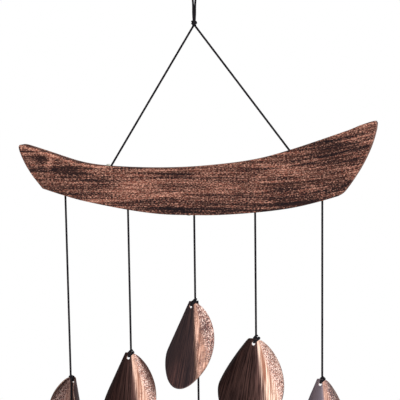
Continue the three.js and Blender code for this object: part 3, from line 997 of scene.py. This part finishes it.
def drill(piece):
    """Cuts the cord holes."""
    cutters = bmesh.new()
    for (x, z), down in [(h, True) for h in LEG_HOLES] + [(strand_hole(n), False) for n in STRANDS]:
        low, high = (-HOLE_DEPTH, DRILL_OVERRUN) if down else (-DRILL_OVERRUN, HOLE_DEPTH)
        middle = Vector((x, 0, z + (low + high) / 2)) * MM + Vector((0, 0, HANGER_KNOT.z))
        bmesh.ops.create_cone(cutters, cap_ends=True, segments=HOLE_SIDES, radius1=HOLE_RADIUS * MM,
                              radius2=HOLE_RADIUS * MM, depth=(high - low) * MM,
                              matrix=Matrix.Translation(middle))
    mesh = bpy.data.meshes.new("cutters")
    cutters.to_mesh(mesh)
    cutter = new_object("cutters", mesh)
    cut = piece.modifiers.new("holes", "BOOLEAN")
    cut.object = cutter
    cut.solver = "EXACT"
    bpy.context.view_layer.update()
    drilled = bpy.data.meshes.new_from_object(piece.evaluated_get(bpy.context.evaluated_depsgraph_get()))
    piece.modifiers.clear()
    piece.data = drilled
    bpy.data.objects.remove(cutter)
    bpy.data.meshes.remove(mesh)


def strand_hole(n):
    mouth = JOINT_PLACE[f"strand{n}_swing1"]
    return mouth.x / MM, (mouth.z - HANGER_KNOT.z) / MM


# ---- Ring and glue ---------------------------------------------------------------------------
RING_GAP = math.radians(2)
RING_STEPS = 180
GLUE_LUMP = 1.7
GLUE_UNEVEN = 0.18
# Drops of glue: place from the hole's mouth, half sizes, seed and, for one, where it is flat below
LEG_DROP = ((0, 0, -1.2), (1.35, 1.35, 1.3), 3)
LEFT_LEG_BEAD = ((-2.3, 0, 0.5), (2.1, 1.5, 1.3), 8, -0.3)
STRAND_DROP = ((0, 0, 3.4), (1.35, 1.35, 1.2))
SPILL_STRAND, SPILL = 3, ((-3.4, -6, 0.2), (1.6, 1.4, 0.8), 5)


def add_ring():
    """A wire ring, its two ends butted together at the back."""
    radius = RING_INNER_RADIUS + RING_WIRE_RADIUS
    line = []
    for i in range(RING_STEPS + 1):
        a = RING_GAP / 2 + (2 * math.pi - RING_GAP) * i / RING_STEPS
        line.append(Vector((0, radius * math.cos(a), radius * math.sin(a) - RING_INNER_RADIUS)) * MM)
    piece = add_mesh("ring_wire", *tube(line, RING_WIRE_RADIUS * MM, braided=False), [STEEL], smooth_below=60)
    settle(piece, "ring", "steel", "hanging_ring")


def blob(mouth, shift, size, seed, flat_below=-1.0):
    """An uneven drop of glue, its middle shifted from the hole's mouth, in mm."""
    centre = mouth + Vector(shift)
    made = bmesh.new()
    bmesh.ops.create_icosphere(made, subdivisions=3, radius=1)
    vertices = []
    for v in made.verts:
        p = Vector(v.co)
        p *= 1 + GLUE_UNEVEN * noise.noise(p * GLUE_LUMP + Vector((seed, 0, 0)))
        p.z = max(p.z, flat_below)
        vertices.append((centre + Vector((p.x * size[0], p.y * size[1], p.z * size[2]))) * MM)
    faces = [tuple(v.index for v in f.verts) for f in made.faces]
    made.free()
    return vertices, faces


def add_glue():
    for side, (x, z) in zip(("left", "right"), LEG_HOLES):
        mouth = Vector((x, 0, HANGER_KNOT.z / MM + z))
        parts = [blob(mouth, *LEG_DROP)]
        if side == "left":
            parts.append(blob(mouth, *LEFT_LEG_BEAD))
        piece = add_mesh(f"{side}_glue", *join(*parts), [GLUE], smooth_below=80)
        settle(piece, "bar", "glue", f"{side}_leg_plug")
    for n in STRANDS:
        x, z = strand_hole(n)
        mouth = Vector((x, 0, HANGER_KNOT.z / MM + z))
        parts = [blob(mouth, *STRAND_DROP, n)]
        if n == SPILL_STRAND:  # a little ran out of the hole
            parts.append(blob(mouth, *SPILL))
        piece = add_mesh(f"strand{n}_glue", *join(*parts), [GLUE], smooth_below=80)
        settle(piece, "bar", "glue", f"strand{n}_plug")


add_ring()
add_hanger_knot()
add_bar()
add_glue()
for n in STRANDS:
    for level in LEVELS:
        add_petal(n, level)
        add_petal_knot(n, level)

# ---- Floor, light and surroundings -------------------------------------------------------------
FLOOR_GAP = 0.03
FLOOR_RADIUS = 2.5
FLOOR_SIDES = 96
FLOOR_COLOR = (0.86, 0.86, 0.86)
FLOOR_SOLID = 0.5  # out to here, and fading
FLOOR_GONE = 1.5  # to nothing here
# The window: azimuths in radians and heights as the sine of elevation, dark to bright
WINDOW_LEFT = (math.radians(-27), math.radians(-17))
WINDOW_RIGHT = (math.radians(135), math.radians(85))
WINDOW_LOW = (-0.3, -0.05)
WINDOW_HIGH = (0.95, 0.6)
WINDOW_STRENGTH = 1.45
WINDOW_COLOR = (1, 0.97, 0.98, 1)
AROUND_STRENGTH = 0.1
LIGHT_TARGET = (0, 0, -0.3)
LIGHTS = {  # place, size and power
    "overhead": ((0.2, -0.3, 1.5), (1.4, 1.4), 10),
    "back_softbox": ((0.5, 1.7, 0.2), (1.4, 1.6), 5),
}


def add_floor():
    """A pale floor that fades into the pale surroundings."""
    made = bmesh.new()
    bmesh.ops.create_circle(made, cap_ends=True, segments=FLOOR_SIDES, radius=FLOOR_RADIUS,
                            matrix=Matrix.Translation((0, 0, cad_box[0].z - FLOOR_GAP)))
    mesh = bpy.data.meshes.new("floor")
    made.to_mesh(mesh)
    floor = new_object("floor", mesh)
    s = Shader("pale_floor")
    s.set(color=FLOOR_COLOR, roughness=0.8)
    point = s.node("ShaderNodeTexCoord").outputs["Object"]
    flat = s.node("ShaderNodeVectorMath", operation="MULTIPLY")
    s.feed(flat.inputs[0], point)
    flat.inputs[1].default_value = (1, 1, 0)
    length = s.node("ShaderNodeVectorMath", operation="LENGTH")
    s.feed(length.inputs[0], flat.outputs[0])
    s.feed(s.surface.inputs["Alpha"], s.ramp(length.outputs["Value"], FLOOR_SOLID, FLOOR_GONE, 1, 0))
    mesh.materials.append(s.material)


def add_light(name, place, size, power):
    data = bpy.data.lights.new(name, "AREA")
    data.shape = "RECTANGLE"
    data.size, data.size_y = size
    data.energy = power
    light = new_object(name, data)
    light.location = place
    light.rotation_mode = "QUATERNION"
    light.rotation_quaternion = (Vector(LIGHT_TARGET) - Vector(place)).to_track_quat("-Z", "Y")


def set_world():
    """The camera sees white. The light comes from a wide window in front and to the right."""
    world = bpy.data.worlds.new("studio")
    world.use_nodes = True
    bpy.context.scene.world = world
    tree = world.node_tree
    tree.nodes.clear()

    def node(kind, *inputs, **settings):
        made = tree.nodes.new(kind)
        for key, value in settings.items():
            setattr(made, key, value)
        for socket, value in zip(made.inputs, inputs):
            if isinstance(value, bpy.types.NodeSocket):
                tree.links.new(value, socket)
            else:
                socket.default_value = value
        return made.outputs[0]

    def smooth(value, low, high):
        return node("ShaderNodeMapRange", value, low, high, 0.0, 1.0, interpolation_type="SMOOTHSTEP")

    def times(*values):
        product = values[0]
        for value in values[1:]:
            product = node("ShaderNodeMath", product, value, operation="MULTIPLY")
        return product

    direction = tree.nodes.new("ShaderNodeTexCoord").outputs["Generated"]
    split = tree.nodes.new("ShaderNodeSeparateXYZ")
    tree.links.new(direction, split.inputs[0])
    x, y, z = split.outputs
    # Azimuth about the object, 0 straight in front and positive to the right
    azimuth = node("ShaderNodeMath", x, times(y, -1.0), operation="ARCTAN2")
    window = times(smooth(azimuth, *WINDOW_LEFT), smooth(azimuth, *WINDOW_RIGHT), smooth(z, *WINDOW_LOW),
                   smooth(z, *WINDOW_HIGH))
    strength = node("ShaderNodeMath", window, WINDOW_STRENGTH, AROUND_STRENGTH, operation="MULTIPLY_ADD")
    around = tree.nodes.new("ShaderNodeBackground")
    around.inputs["Color"].default_value = WINDOW_COLOR
    tree.links.new(strength, around.inputs["Strength"])
    seen = tree.nodes.new("ShaderNodeBackground")
    seen.inputs["Color"].default_value = (1, 1, 1, 1)
    camera_ray = tree.nodes.new("ShaderNodeLightPath").outputs["Is Camera Ray"]
    mix = tree.nodes.new("ShaderNodeMixShader")
    for socket, value in zip(mix.inputs, (camera_ray, around.outputs[0], seen.outputs[0])):
        tree.links.new(value, socket)
    output = tree.nodes.new("ShaderNodeOutputWorld")
    tree.links.new(mix.outputs[0], output.inputs["Surface"])


add_floor()
set_world()
for light_name, settings in LIGHTS.items():
    add_light(light_name, *settings)
bpy.context.scene.view_settings.view_transform = "Standard"
